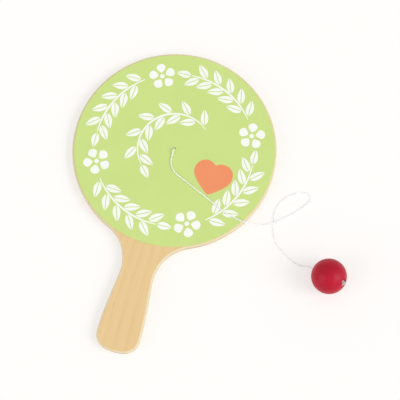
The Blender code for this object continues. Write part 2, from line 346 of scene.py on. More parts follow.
def cord_tube(name, line, finish):
    ahead = unit(np.gradient(line, axis=0))
    side = unit(np.cross(ahead[0], SIDE_START))
    points = []
    for centre, way in zip(line, ahead):
        side = unit(side - way * (side @ way))
        other = np.cross(way, side)
        for k in range(CORD_SIDES):
            angle = 2 * math.pi * k / CORD_SIDES
            points.append(centre + CORD_RADIUS * (math.cos(angle) * side + math.sin(angle) * other))
    faces = ring_faces(len(line), CORD_SIDES)
    tube_faces = len(faces)
    last = (len(line) - 1) * CORD_SIDES
    faces += [tuple(reversed(range(CORD_SIDES))), tuple(range(last, last + CORD_SIDES))]
    made = piece_from(name, points, faces, finish)
    along = lengths_along(line) / (2 * math.pi * CORD_RADIUS)
    turns = made.data.uv_layers.new(name=CORD_MAP)
    for face in made.data.polygons[:tube_faces]:
        ring, k = divmod(face.index, CORD_SIDES)
        corners = ((k, ring), (k + 1, ring), (k + 1, ring + 1), (k, ring + 1))
        for loop, (a, b) in zip(face.loop_indices, corners):
            turns.data[loop].uv = (a / CORD_SIDES, along[b])
    return made


# %% [markdown]
# The elastic's route is chosen from the photograph: out of the hole towards the handle, round
# and over the face, off the edge of the head, one loose loop on the table, and up into the ball. Each
# point has a place on the table, from the middle of the head, and a level: TABLE, FACE_LEVEL or
# between. A smooth curve runs through them, eased by the distances, so close points make no knuckles.

# %% Lay the elastic's route
TABLE_GAP = 0.0001
SEAT_GAP = 0.00002
ON_FACE = FACE + SEAT_GAP + CORD_RADIUS
ON_TABLE = TABLE_GAP + CORD_RADIUS
BEND_RADIUS = 0.0024
TABLE, FACE_LEVEL = 0.0, 1.0
CROSSING_GAP = 0.0003
CROSSING = (CORD_DIAMETER + CROSSING_GAP) / (ON_FACE - ON_TABLE)  # where it passes over itself
ROUTE = [
    (0.0000, -0.0056, 1.04),
    (0.0002, -0.0088, FACE_LEVEL),
    (0.0010, -0.0119, FACE_LEVEL),
    (0.0025, -0.0147, FACE_LEVEL),
    (0.0045, -0.0170, FACE_LEVEL),
    (0.0072, -0.0188, FACE_LEVEL),
    (0.0108, -0.0203, FACE_LEVEL),
    (0.0215, -0.0249, FACE_LEVEL),
    (0.0455, -0.0355, FACE_LEVEL),
    (0.0530, -0.0382, FACE_LEVEL),
    (0.0605, -0.0397, FACE_LEVEL),
    (0.0645, -0.0398, 0.96),
    (0.0691, -0.0395, 0.75),
    (0.0743, -0.0383, 0.46),
    (0.0794, -0.0363, 0.26),
    (0.0835, -0.0340, CROSSING),
    (0.0873, -0.0308, 0.11),
    (0.0916, -0.0270, 0.03),
    (0.0958, -0.0229, TABLE),
    (0.1040, -0.0133, TABLE),
    (0.1056, -0.0094, TABLE),
    (0.1046, -0.0064, TABLE),
    (0.1016, -0.0056, TABLE),
    (0.0966, -0.0068, TABLE),
    (0.0918, -0.0093, TABLE),
    (0.0878, -0.0132, TABLE),
    (0.0848, -0.0180, TABLE),
    (0.0833, -0.0230, TABLE),
    (0.0840, -0.0338, TABLE),
    (0.0880, -0.0447, TABLE),
    (0.0917, -0.0493, TABLE),
    (0.0970, -0.0532, TABLE),
    (0.1020, -0.0561, TABLE),
    (0.1062, -0.0581, 0.01),
    (0.1102, -0.0588, 0.04),
    (0.1139, -0.0585, 0.20),
    (0.1172, -0.0584, 0.43),
]
BALL_APPROACH = 0.0012  # back from the ball's skin, where the cord already points into it
KNOT_POCKET_DEPTH = 0.0018
KNOT_LEAD_IN = 0.0020  # a knot's own piece begins this far up its hole, out of sight
CORD_STEP = 0.0005  # between the rings of the free elastic
FINE_STEP = 0.0002  # and of the short pieces at its ends, which bend more


def smooth_line(points, samples=24):
    """A dense smooth curve through the points."""
    points = [Vector(p) for p in points]
    ends = [points[0] * 2 - points[1], *points, points[-1] * 2 - points[-2]]
    line = []
    for a, b, c, d in zip(ends, ends[1:], ends[2:], ends[3:]):
        ab, bc, cd = (math.sqrt((q - p).length) for p, q in ((a, b), (b, c), (c, d)))
        leave = ((b - a) / ab - (c - a) / (ab + bc) + (c - b) / bc) * bc
        reach = ((c - b) / bc - (d - b) / (bc + cd) + (d - c) / cd) * bc
        for i in range(samples):
            t = i / samples
            start_share, end_share = 2 * t**3 - 3 * t**2 + 1, 3 * t**2 - 2 * t**3
            bow = leave * (t**3 - 2 * t**2 + t) + reach * (t**3 - t**2)
            line.append(b * start_share + c * end_share + bow)
    return np.array([*line, points[-1]])


bend_end = HEAD + Vector((0.0, -BEND_RADIUS, BEND_TOP))
laid = [HEAD + Vector((x, y, ON_TABLE + level * (ON_FACE - ON_TABLE))) for x, y, level in ROUTE]
skin = BALL - BORE * BALL_RADIUS
pocket_floor = BALL + BORE * (BALL_RADIUS - KNOT_POCKET_DEPTH)
ball_knot_lead = pocket_floor - BORE * KNOT_LEAD_IN
route_end = [skin - BORE * BALL_APPROACH, skin, BALL, ball_knot_lead]
free_line = evenly(smooth_line([bend_end, *laid, *route_end]), CORD_STEP)

# %% [markdown]
# Each end of the elastic is tied in an overhand knot, the simplest stopper. A drawn knot is hard to
# model by hand, so this one is tied as a real one is. A loose loop of points starts as a trefoil that
# is open on one side. Then the cord is shortened bit by bit while its ends are held, stretches that
# lie too close push each other apart, and a little stiffness keeps the bends round. Sizes here are in
# cord diameters. Stretches may lie closer than one diameter, because soft elastic gives way.

# %% Tie the knot
KNOT_POINTS = 110
KNOT_LEAD = 5.0  # how far each end is held from the knot
KNOT_OPENING = 0.35  # half of the angle at which the trefoil is open
KNOT_OPEN_SIZE = 1.04
KNOT_TAKES = 7.6  # length that the drawn knot takes up
KNOT_SQUEEZE = 0.80  # stretches nearer than this push each other apart
KNOT_PUSH = 0.25
KNOT_STIFFNESS = 0.08
KNOT_ROUNDS = 240
KNOT_SHORTENS = 0.75  # in this share of the rounds the cord is shortened
KNOT_STEPS = 10  # small steps in each round
KNOT_BEND_SHARE = 1.45  # neighbours this near along the cord don't push each other
KNOT_TAIL_WAY = (0.99, 0.0, -0.15)  # the tail lies beside the knot
TREFOIL_POINTS = 300
LEAD_POINTS = 30


def loose_overhand():
    start = math.pi / 3 + KNOT_OPENING
    end = math.pi / 3 + 2 * math.pi - KNOT_OPENING
    t = np.linspace(start, end, TREFOIL_POINTS)
    loop = np.stack([np.sin(t) + 2 * np.sin(2 * t), np.cos(t) - 2 * np.cos(2 * t), -np.sin(3 * t)], axis=1)
    up = unit((loop[0] - loop[-1]) * (1.0, 1.0, 0.0))
    across = np.array((0.0, 0.0, 1.0))
    loop = loop @ np.stack([across, np.cross(up, across), up]).T * KNOT_OPEN_SIZE
    loop -= (loop[0] + loop[-1]) / 2
    ends = np.array(((0.0, 0.0, 1.0), KNOT_TAIL_WAY)) * KNOT_LEAD
    share = np.linspace(0.0, 1.0, LEAD_POINTS)[:, None]
    lead_in = ends[0] + (loop[0] - ends[0]) * share
    lead_out = loop[-1] + (ends[1] - loop[-1]) * share
    return spaced(np.concatenate([lead_in, loop, lead_out]), KNOT_POINTS)


def pull_to_step(line, step):
    """Brings each two neighbours to the same distance, every other pair at a time."""
    for begin in (0, 1):
        near, far = line[begin:-1:2], line[begin + 1 :: 2]
        apart = far - near
        fix = apart * (0.5 - 0.5 * step / np.linalg.norm(apart, axis=1, keepdims=True))
        near += fix
        far -= fix


def push_apart(line, one, two):
    apart = line[two] - line[one]
    distance = np.linalg.norm(apart, axis=1)
    close = distance < KNOT_SQUEEZE
    push = apart[close] * (KNOT_PUSH * (KNOT_SQUEEZE / distance[close] - 1.0))[:, None]
    np.add.at(line, one[close], -push)
    np.add.at(line, two[close], push)


def drawn_overhand():
    line = loose_overhand()
    held = line[[0, -1]].copy()
    loose_length = lengths_along(line)[-1]
    drawn_length = 2 * KNOT_LEAD + KNOT_TAKES
    one, two = np.triu_indices(KNOT_POINTS, 1)
    for i in range(KNOT_ROUNDS):
        share = min(1.0, i / (KNOT_SHORTENS * KNOT_ROUNDS))
        step = (loose_length + (drawn_length - loose_length) * share) / (KNOT_POINTS - 1)
        apart = two - one > KNOT_BEND_SHARE / step
        for _ in range(KNOT_STEPS):
            pull_to_step(line, step)
            push_apart(line, one[apart], two[apart])
            line[1:-1] += (line[:-2] + line[2:] - 2 * line[1:-1]) * KNOT_STIFFNESS
            line[[0, -1]] = held
    return line


KNOT_STRETCH = slice(23, 93)  # the knot with a short tail, without its leads
knot_line = drawn_overhand()[KNOT_STRETCH]
print("drawn knot, in cord diameters:", np.round(np.ptp(knot_line, axis=0) + 1.0, 2))

# %% [markdown]
# The same knot sits in both places: under the board, in a round recess that keeps it off the table, and
# in the ball, in a small pocket. Both hide the place where the knot's piece begins, inside the hole.
# Neither is pulled quite tight, so each is set a little fuller than its cord, and its stretches just
# touch. The pull of the elastic draws each knot flat against its seat.

# %% Seat the two knots
KNOT_MIDDLE = (0.35, -2.25)  # of the knot as it was tied, in cord diameters
KNOT_TOP = 1.63
KNOT_FLATNESS = 0.85
KNOT_FULLNESS = 1.3
KNOT_IN_POCKET = 0.96  # the ball's small pocket holds its knot tighter
KNOT_SEAT = 0.0033  # the top of the knot under the board


def seat_knot(name, lead, top, tail_side, tightness=1.0):
    """A knot whose cord comes down from lead and which rests with its top at that point."""
    up = (lead - top).normalized()
    across = (tail_side - up * tail_side.dot(up)).normalized()
    third = up.cross(across)
    steps = [lead, lead.lerp(top, 0.5), top]
    for x, y, z in knot_line:
        aside = across * (x - KNOT_MIDDLE[0]) + third * (y - KNOT_MIDDLE[1])
        down = up * (KNOT_TOP - z) * KNOT_FLATNESS
        steps.append(top + (aside - down) * tightness * KNOT_FULLNESS * CORD_DIAMETER)
    return cord_tube(name, evenly(smooth_line(steps, samples=4), FINE_STEP), knot_painted_shade_elastic)


bat_knot_top = HEAD + Vector((0.0, 0.0, KNOT_SEAT))
bat_knot_lead = bat_knot_top + Vector((0.0, 0.0, KNOT_LEAD_IN))
tied_under_bat = seat_knot("knot_under_bat", bat_knot_lead, bat_knot_top, Vector((-0.6, -1.0, 0.0)))
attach(tied_under_bat, "anchor")
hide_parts("anchor_knot")

ball_tail_side = Vector((0.2, -1.0, 0.0))
tied_on_ball = seat_knot("knot_on_ball", ball_knot_lead, pocket_floor, ball_tail_side, KNOT_IN_POCKET)
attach(tied_on_ball, "cord_end")
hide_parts("ball_knot")

# %% [markdown]
# From its knot the elastic comes straight up through the board, turns over the edge of the small hole
# and lies down on the face. A pull can swing this turn round the hole, so it is a piece of its own.

# %% Bring the elastic up through the bat
BEND_STEPS = 24
turn_middle = HEAD + Vector((0.0, -BEND_RADIUS, BEND_TOP - BEND_RADIUS))
turn_over = []
for i in range(BEND_STEPS + 1):
    angle = math.pi / 2 * i / BEND_STEPS
    turn_over.append(turn_middle + BEND_RADIUS * Vector((0.0, math.cos(angle), math.sin(angle))))
up_the_hole = evenly(np.array([bat_knot_lead, *turn_over]), FINE_STEP)
elastic_through_bat = cord_tube("elastic_through_bat", up_the_hole, clean_elastic)
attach(elastic_through_bat, "anchor")
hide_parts("elastic_in_bat")

# %% [markdown]
# The rest of the elastic is one long tube, from the turn at the hole to the knot in the ball.

# %% Lay the free elastic
elastic = cord_tube("elastic", free_line, clean_elastic)
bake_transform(elastic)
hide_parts("elastic_on_bat", "elastic_to_ball", "elastic_in_ball")

# %% [markdown]
# The bat is sawn from one board about 6 mm thick, and its edges are rounded over and sanded, because a
# child holds it. The outline is a circle for the head, a fillet into the narrow neck, one easy curve
# to the wider grip, and a gently curved end with round corners. Each arc touches the next one.

# %% Draw the bat's outline
EDGE_ROUND = 0.0013
NECK_FROM_HEAD = 0.0215
NECK_WIDTH = 0.0244
GRIP_WIDTH = 0.0312
GRIP_CORNER_RADIUS = 0.0110
GRIP_END_RADIUS = 0.0330
NECK_EASE = 0.0065
GRIP_EASE = 0.0200
ARC_STEP = math.radians(1.0)
EASE_STEPS = 40
neck_y = -(HEAD_RADIUS + NECK_FROM_HEAD)


def arc(centre, radius, start, end):
    steps = max(2, math.ceil(abs(end - start) / ARC_STEP))
    angles = [start + (end - start) * i / steps for i in range(steps + 1)]
    return [(centre[0] + radius * math.cos(a), centre[1] + radius * math.sin(a)) for a in angles]


def eased(before, corner, after, steps=4):
    """Points of a rounded corner, both ends included."""
    return [
        tuple((1 - t) ** 2 * p + 2 * t * (1 - t) * q + t * t * r for p, q, r in zip(before, corner, after))
        for t in (i / steps for i in range(steps + 1))
    ]


def bat_side():
    """The outline on the +X side, from the head's top to the middle of the handle's end."""
    neck, grip = NECK_WIDTH / 2, GRIP_WIDTH / 2
    fillet = (neck_y**2 + neck**2 - HEAD_RADIUS**2) / (2 * (HEAD_RADIUS - neck))
    touch = math.atan2(neck_y, neck + fillet)
    # The end's arc stands where the grip's end comes to the board's own length.
    end_centre = (0.0, board_low.y - HEAD.y + GRIP_END_RADIUS)
    corner_x = grip - GRIP_CORNER_RADIUS
    reach = math.sqrt((GRIP_END_RADIUS - GRIP_CORNER_RADIUS) ** 2 - corner_x**2)
    grip_y = end_centre[1] - reach
    corner_end = -math.atan2(reach, corner_x)
    ease = []
    for i in range(1, EASE_STEPS + 1):
        t = i / EASE_STEPS
        share = (1 - t) ** 3 + 3 * t * (1 - t) ** 2
        y = neck_y * (1 - t) ** 3 + 3 * (neck_y - NECK_EASE) * t * (1 - t) ** 2
        y += 3 * (grip_y + GRIP_EASE) * t * t * (1 - t) + grip_y * t**3
        ease.append((neck * share + grip * (1 - share), y))
    return (
        arc((0.0, 0.0), HEAD_RADIUS, math.pi / 2, touch)
        + arc((neck + fillet, neck_y), fillet, math.pi + touch, math.pi)[1:]
        + ease
        + arc((corner_x, grip_y), GRIP_CORNER_RADIUS, 0.0, corner_end)[1:]
        + arc(end_centre, GRIP_END_RADIUS, corner_end, -math.pi / 2)[1:]
    )


right_side = bat_side()
left_side = [(-x, y) for x, y in reversed(right_side[1:-1])]
outline = np.array((right_side + left_side)[::-1])
along_outline = unit(np.roll(outline, -1, axis=0) - np.roll(outline, 1, axis=0))
out_of_outline = np.stack([along_outline[:, 1], -along_outline[:, 0]], axis=1)
print("bat outline:", len(outline), "points, long, mm:", round(np.ptp(outline[:, 1]) * 1000, 1))

# %% [markdown]
# The wood is pale and plain-sawn. Growth rings round the middle of the trunk, well below the board,
# make the broad faint streaks. Fine fibres and a few short dark dashes run along the handle, as they do
# on beech. Sanding leaves the rounded edges a little paler. The upright walls are painted darker, a
# painted shade that keeps them from looking brighter than the flat face. The sawn end of the grip is
# darker, because its open pores drink the lacquer.

# %% Finish the wood
PITH = (0.031, 0.0, -0.110)
ALONG_TRUNK = 0.03  # how little a step along the trunk counts, so the rings are long
RING_SPACING = 0.0031
RING_WANDER = 0.011
GRAIN_DEPTH = 0.00004
EARLY_WOOD = seen(240, 209, 155)
LATE_WOOD = seen(224, 188, 129)
DARK_DASH = seen(176, 128, 78)
SANDED_EDGE = seen(231, 217, 184)
# painted shade: the darker colour given to every upright wall of the board
WALL_PAINTED_SHADE = seen(222, 200, 163)
OPEN_PORES = seen(196, 150, 96)
EDGE_MARK = "edge"


def wood_finish():
    paint = Paint(bpy.data.materials.new("sanded_wood"))
    place = paint.node("ShaderNodeTexCoord", output="Object")
    facing = paint.node("ShaderNodeTexCoord", output="Normal")
    from_pith = paint.node("ShaderNodeVectorMath", {"operation": "SUBTRACT"}, {0: place, 1: PITH})
    flattened = {0: from_pith, 1: (1.0, ALONG_TRUNK, 1.0)}
    across = paint.node("ShaderNodeVectorMath", {"operation": "MULTIPLY"}, flattened)
    distance = paint.node("ShaderNodeVectorMath", {"operation": "LENGTH"}, {0: across}, output="Value")
    wander = paint.noise(place, (16.0, 3.5, 16.0), 2.0) - 0.5
    ring = ((distance + wander * RING_WANDER) * (1 / RING_SPACING)).math("FRACT")
    late_wood = ring.rise(0.25, 0.93) - ring.rise(0.93, 1.0)
    fibres = paint.noise(place, (2300.0, 38.0, 2300.0), 3.0)
    dashes = paint.noise(place, (1250.0, 95.0, 1250.0), 1.0).rise(0.735, 0.79)
    patches = paint.noise(place, (26.0, 7.0, 26.0), 2.0)
    edge = paint.node("ShaderNodeAttribute", {"attribute_name": EDGE_MARK}, output="Fac")
    end_grain = paint.node("ShaderNodeSeparateXYZ", None, {0: facing}, output="Y")
    end_grain = end_grain.math("ABSOLUTE").rise(0.75, 1.0) * 0.28
    streaks = late_wood * 0.22 + (fibres - 0.5) * 0.7 + (patches - 0.5) * 0.5 + 0.36
    colour = paint.mixed(streaks, EARLY_WOOD, LATE_WOOD)
    colour = paint.mixed(dashes * 0.5, colour, DARK_DASH)
    colour = paint.mixed(edge * 0.9, colour, SANDED_EDGE)
    # painted shade: faces that stand upright are darkened towards that colour
    painted_shade_on_walls = 1.0 - paint.node("ShaderNodeSeparateXYZ", None, {0: facing}, output="Z").math("ABSOLUTE")
    colour = paint.mixed(painted_shade_on_walls.rise(0.6, 1.0) * 0.9, colour, WALL_PAINTED_SHADE)
    colour = paint.mixed(end_grain, colour, OPEN_PORES)
    roughness = 0.46 + fibres * 0.14
    grain = fibres * 0.7 - dashes * 0.6 + late_wood * 0.2
    return paint.set(base_color=colour, roughness=roughness, normal=paint.bump(grain, GRAIN_DEPTH))


wood = wood_finish()
print(wood.name, "has", len(wood.node_tree.nodes), "nodes")

# %% [markdown]
# The board is built from rings of the outline, each a little further in and higher than the last, up
# and over both rounded edges. One more ring a hair inside each flat face keeps that face's shading flat.
# In the middle is the hole for the elastic, with the wider recess for its knot in the underside.

# %% Make the board
ROUND_STEPS = 8
FLAT_RING = 0.0003
CORD_HOLE_RADIUS = 0.0010
RECESS_RADIUS = 0.0040
RECESS_DEPTH = 0.0035
RECESS_EDGE = 0.0003
HOLE_SIDES = 64


def circle(radius, height, sides):
    angles = [2 * math.pi * i / sides for i in range(sides)]
    return [Vector((radius * math.cos(a), radius * math.sin(a), height)) for a in angles]


def cap_faces(points, outer, inner, upward):
    """Triangles between two rings, given by their points' numbers, at one height."""
    numbers = [*outer, *inner]
    faces = []
    for triangle in tessellate_polygon([[points[i] for i in ring] for ring in (outer, inner)]):
        a, b, c = (numbers[i] for i in triangle)
        turn = (points[b] - points[a]).cross(points[c] - points[a]).z
        faces.append((a, b, c) if (turn > 0) == upward else (c, b, a))
    return faces


quarter = [math.pi / 2 * i / ROUND_STEPS for i in range(ROUND_STEPS + 1)]
over_edge = [(EDGE_ROUND * (1 - math.sin(a)), EDGE_ROUND * (1 - math.cos(a))) for a in quarter]
levels = [(EDGE_ROUND + FLAT_RING, 0.0), *over_edge]
levels += [(inset, BOARD_THICKNESS - height) for inset, height in reversed(levels)]
board_points = []
for inset, height in levels:
    for x, y in outline - out_of_outline * inset:
        board_points.append(HEAD + Vector((x, y, height)))
board_faces = ring_faces(len(levels), len(outline))
hole_start = len(board_points)
recess_edge = eased((RECESS_RADIUS, RECESS_EDGE), (RECESS_RADIUS, 0.0), (RECESS_RADIUS + RECESS_EDGE, 0.0))
hole_profile = [(CORD_HOLE_RADIUS, BOARD_THICKNESS), (CORD_HOLE_RADIUS, RECESS_DEPTH)]
hole_profile += [(RECESS_RADIUS, RECESS_DEPTH), *recess_edge]
for radius, height in hole_profile:
    board_points += [HEAD + p for p in circle(radius, height, HOLE_SIDES)]
for face in ring_faces(len(hole_profile), HOLE_SIDES):
    board_faces.append(tuple(hole_start + i for i in face))
ring_size = len(outline)
top_ring = range((len(levels) - 1) * ring_size, len(levels) * ring_size)
top_hole = range(hole_start, hole_start + HOLE_SIDES)
low_hole = range(len(board_points) - HOLE_SIDES, len(board_points))
board_faces += cap_faces(board_points, top_ring, top_hole, True)
board_faces += cap_faces(board_points, range(ring_size), low_hole, False)
board = piece_from("board", board_points, board_faces, wood)
edge_mark = board.data.attributes.new(EDGE_MARK, "FLOAT", "POINT")
for number, (inset, _) in enumerate(levels):
    for k in range(ring_size):
        edge_mark.data[number * ring_size + k].value = 1.0 if 0 < inset < EDGE_ROUND else 0.0
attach(board, "bat")
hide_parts("bat_board")

# %% [markdown]
# The face is a thin printed film, cut round and pressed on. The green is a flat printed colour, but no
# print is quite even: it is a hair lighter and darker in soft patches, with a fine grain. Matt film also
# has a faint skin, so the light on it isn't dead.

# %% Finish the print and its inks
SKIN_DEPTH = 0.00001


def print_finish(name, colour, darker, roughness):
    paint = Paint(bpy.data.materials.new(name))
    place = paint.node("ShaderNodeTexCoord", output="Object")
    patches = paint.noise(place, (38.0, 38.0, 38.0), 3.0)
    grain = paint.noise(place, (2600.0, 2600.0, 2600.0), 1.0)
    tone = patches.rise(0.25, 0.8) * 0.7 + grain * 0.3
    skin = paint.noise(place, (900.0, 900.0, 900.0), 2.0)
    return paint.set(
        base_color=paint.mixed(tone, colour, darker),
        roughness=roughness + (grain - 0.5) * 0.12,
        normal=paint.bump(skin, SKIN_DEPTH),
    )


green_print = print_finish("green_print", seen(207, 228, 138), seen(202, 223, 131), 0.5)
white_ink = print_finish("white_ink", seen(252, 254, 248), seen(248, 251, 243), 0.46)
coral_ink = print_finish("coral_ink", seen(244, 151, 102), seen(240, 144, 96), 0.46)
print("inks:", white_ink.name, coral_ink.name)

# %% [markdown]
# The film is turned like a flat ring, with a hole at the middle for the elastic and a softly cut edge.
# It leaves a narrow rim of bare wood showing round it.

# %% Make the printed face
FILM_HOLE_RADIUS = 0.0009
FILM_EDGE = 0.00015
FILM_SIDES = 240


def turned(name, profile, sides, finish, middle, axis=Vector((0.0, 0.0, 1.0))):
    """A solid turned about an axis from a closed line of (radius, height) points."""
    turn = axis.to_track_quat("Z", "Y").to_matrix()
    points = [middle + turn @ p for radius, height in profile for p in circle(radius, height, sides)]
    faces = ring_faces(len(profile), sides, closed=True)
    return piece_from(name, points, faces, finish)


film_edge = eased(
    (SHEET_RADIUS, FACE - FILM_EDGE), (SHEET_RADIUS, FACE), (SHEET_RADIUS - FILM_EDGE, FACE)
)
film_profile = [
    (FILM_HOLE_RADIUS, BOARD_THICKNESS),
    (SHEET_RADIUS, BOARD_THICKNESS),
    *film_edge,
    (SHEET_RADIUS - FILM_EDGE - FLAT_RING, FACE),
    (FILM_HOLE_RADIUS, FACE),
]
printed_face = turned("printed_face", film_profile, FILM_SIDES, green_print, HEAD)
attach(printed_face, "bat")
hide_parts("face_sheet")

# %% [markdown]
# The picture on the face is printed in two inks, a coral heart and white shapes. The heart is one of the
# plainest figures there are. It is drawn as two smooth curves through given points, down one
# lobe to the tip and up the other to the notch. Each printed shape is a thin island of ink.

# %% Print the heart
INK_SUNK = 0.00003
INK_PROUD = 0.000025
HEART_NOTCH = (32.8, -4.6)
HEART_TIP = (32.8, -27.3)
HEART_LEFT = (
    (30.0, -2.6), (26.0, -1.7), (21.6, -3.6), (18.7, -8.0),
    (18.7, -12.9), (21.2, -17.3), (26.6, -22.9), (31.4, -26.7),
)
HEART_RIGHT = (
    (34.4, -26.4), (38.8, -23.1), (42.8, -19.6), (45.9, -15.6), (47.0, -11.2),
    (45.8, -6.4), (42.7, -3.5), (39.2, -2.6), (35.4, -3.1),
)
HEART_SIDES_MM = (
    (HEART_NOTCH, *HEART_LEFT, HEART_TIP),
    (HEART_TIP, *HEART_RIGHT, HEART_NOTCH),
)


def ink_islands(name, outlines, ink):
    """One thin closed island of ink for each outline, on the film."""
    points, faces = [], []
    for shape in outlines:
        low, count = len(points), len(shape)
        for height in (FACE - INK_SUNK, FACE + INK_PROUD):
            points += [HEAD + Vector((x, y, height)) for x, y in shape]
        faces += [tuple(low + i for i in face) for face in ring_faces(2, count)]
        faces += [tuple(reversed(range(low, low + count))), tuple(range(low + count, low + 2 * count))]
    made = piece_from(name, points, faces, ink)
    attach(made, "bat")
    return made


def area_mm2(outlines):
    total = 0.0
    for shape in outlines:
        x, y = np.array(shape).T
        total += abs(np.dot(x, np.roll(y, -1)) - np.dot(y, np.roll(x, -1))) / 2
    return round(total * 1e6)


heart = [smooth_line([(x / 1000, y / 1000) for x, y in side], samples=6)[:-1] for side in HEART_SIDES_MM]
heart_outline = np.concatenate(heart)
heart_print = ink_islands("heart_print", [heart_outline], coral_ink)
print("heart, square mm:", area_mm2([heart_outline]))

# %% [markdown]
# The white print is a plain leafy pattern of our own: sprigs of pointed leaves in a ring near the rim,
# with a five-petalled flower between each two, and one inner sprig that curves round the hole and
# leaves room for the heart. As in a stencil, every leaf is split by its green midrib, and no two
# shapes touch, so each one is a clean island of ink.

# %% Print the leaves and flowers
LEAF_LENGTH = 0.0120
LEAF_WIDTH = 0.0050
LEAF_LEAN = math.radians(40)
LEAF_POINTS = 14
LEAF_GAP = 0.0007  # between a leaf and the stem
MIDRIB = 0.00032
STEM_WIDTH = 0.0014
STEM_POINTS = 48
FLOWER_RADIUS = 0.0100
FLOWER_RING = 0.0575
FLOWERS_AT = (25, 115, 205, 295)  # degrees round the ring
PETALS = 5
PETAL_START, PETAL_LENGTH, PETAL_HALF_WIDTH = 0.28, 0.72, 0.34  # shares of the flower's radius
PETAL_POINTS = 18
DOT_RADIUS = 0.17  # another share
DOT_POINTS = 20
OUTER_RING = 0.0585  # where the sprigs between the flowers lie
OUTER_SPAN = (13, 68)  # degrees past a flower
OUTER_PAIRS = 5
INNER_RING = 0.0270
INNER_SPAN = (48, 222)
INNER_PAIRS = 6


def turned_to(points, heading, base):
    c, s = math.cos(heading), math.sin(heading)
    return np.array(base) + np.array(points) @ np.array(((c, s), (-s, c)))


def leaf(base, heading, length):
    """The two halves of a pointed leaf, widest before its middle, with the midrib left out."""
    t = np.linspace(0.0, 1.0, LEAF_POINTS)
    half = MIDRIB + (LEAF_WIDTH / 2) * np.sin(math.pi * t**0.8) ** 0.9
    half[[0, -1]] = MIDRIB * 1.4
    halves = []
    for side in (1.0, -1.0):
        out = np.stack([length * t, side * half], axis=1)
        back = np.array(((length, side * MIDRIB), (0.0, side * MIDRIB)))
        halves.append(turned_to(np.concatenate([out, back])[::-1 if side > 0 else 1], heading, base))
    return halves


def on_circle(radius, angle):
    return np.array((radius * math.cos(angle), radius * math.sin(angle)))


def sprig(radius, start, end, pairs):
    """A curved stem with leaves on both sides and one at its tip. Its angles are in degrees."""
    start, end = math.radians(start), math.radians(end)
    onward = math.copysign(1.0, end - start)
    share = np.linspace(0.0, 1.0, STEM_POINTS)
    # The stem is thin at both ends, but not sharp.
    half = STEM_WIDTH / 2 * np.sqrt(np.sin(math.pi * (0.04 + 0.92 * share)))
    places = [(start + (end - start) * t, h) for t, h in zip(share, half)]
    outer = [on_circle(radius + h, angle) for angle, h in places]
    inner = [on_circle(radius - h, angle) for angle, h in places]
    shapes = [np.array(outer + inner[::-1])]
    for i in range(pairs):
        for side, lag in ((1, 0.0), (-1, 0.5)):
            angle = start + (end - start) * (i + 0.25 + lag) / (pairs + 0.3)
            base = on_circle(radius + side * (STEM_WIDTH / 2 + LEAF_GAP), angle)
            heading = angle + onward * (math.pi / 2 - side * LEAF_LEAN)
            shapes += leaf(base, heading, LEAF_LENGTH)
    tip = on_circle(radius, end + onward * LEAF_GAP / radius)
    return shapes + leaf(tip, end + onward * math.pi / 2, LEAF_LENGTH * 0.9)


def flower(middle, heading):
    """Five round petals and a dot, none of them touching."""
    t = np.linspace(0.0, 1.0, PETAL_POINTS)
    half = PETAL_HALF_WIDTH * FLOWER_RADIUS * np.sin(math.pi * t**1.35) ** 0.62
    out = np.concatenate([t, t[-2:0:-1]]) * PETAL_LENGTH * FLOWER_RADIUS
    petal = np.stack([out, np.concatenate([-half, half[-2:0:-1]])], axis=1)
    shapes = []
    for i in range(PETALS):
        turn = heading + 2 * math.pi * i / PETALS
        shapes.append(turned_to(petal, turn, middle + on_circle(PETAL_START * FLOWER_RADIUS, turn)))
    turns = [2 * math.pi * i / DOT_POINTS for i in range(DOT_POINTS)]
    dot = [on_circle(DOT_RADIUS * FLOWER_RADIUS, turn) + middle for turn in turns]
    return [*shapes, np.array(dot)]


white_shapes = []
for degrees in FLOWERS_AT:
    angle = math.radians(degrees)
    white_shapes += flower(on_circle(FLOWER_RING, angle), angle)
    white_shapes += sprig(OUTER_RING, degrees + OUTER_SPAN[0], degrees + OUTER_SPAN[1], OUTER_PAIRS)
white_shapes += sprig(INNER_RING, *INNER_SPAN, INNER_PAIRS)
leaf_print = ink_islands("leaf_print", white_shapes, white_ink)
print("white print, square mm:", area_mm2(white_shapes), "in", len(white_shapes), "islands")

# %% [markdown]
# The ball is moulded rubber, bored through, with a pocket that sinks the knot. Its skin is satin and a
# little cloudy, with fine pores and a trace of dust. A moulding line, where the two halves of the
# mould met, runs round it square to the hole, only a few hundredths of a millimetre high.

# %% Make the ball
BORE_RADIUS = 0.00075
POCKET_RADIUS = 0.0022
MOUTH_EDGE = 0.00035
SEAM_WIDTH = 0.0007
SEAM_HEIGHT = 0.00004
SEAM_SHAPE = ((-0.5, 0), (-0.25, 1), (0.25, 1), (0.5, 0))  # across it and up, in its width and height
BALL_SIDES = 120
BALL_STEP = math.radians(2.5)
PORE_DEPTH = 0.00002


def rubber_finish():
    paint = Paint(bpy.data.materials.new("satin_rubber"))
    place = paint.node("ShaderNodeTexCoord", output="Object")
    clouds = paint.noise(place, (120.0, 120.0, 120.0), 3.0)
    pores = paint.noise(place, (2400.0, 2400.0, 2400.0), 2.0)
    dust = paint.noise(place, (420.0, 420.0, 420.0), 4.0).rise(0.62, 0.78)
    colour = paint.mixed(clouds.rise(0.2, 0.8), seen(190, 4, 45), seen(174, 3, 38))
    colour = paint.mixed(dust * 0.06, colour, seen(206, 70, 86))
    return paint.set(
        base_color=colour,
        roughness=0.42 + (clouds - 0.5) * 0.12 + dust * 0.06,
        ior=1.33,
        normal=paint.bump(pores, PORE_DEPTH),
    )


def ball_skin(radius):
    """Height of the ball's skin at a radius from the bore."""
    return math.sqrt(BALL_RADIUS**2 - radius**2)


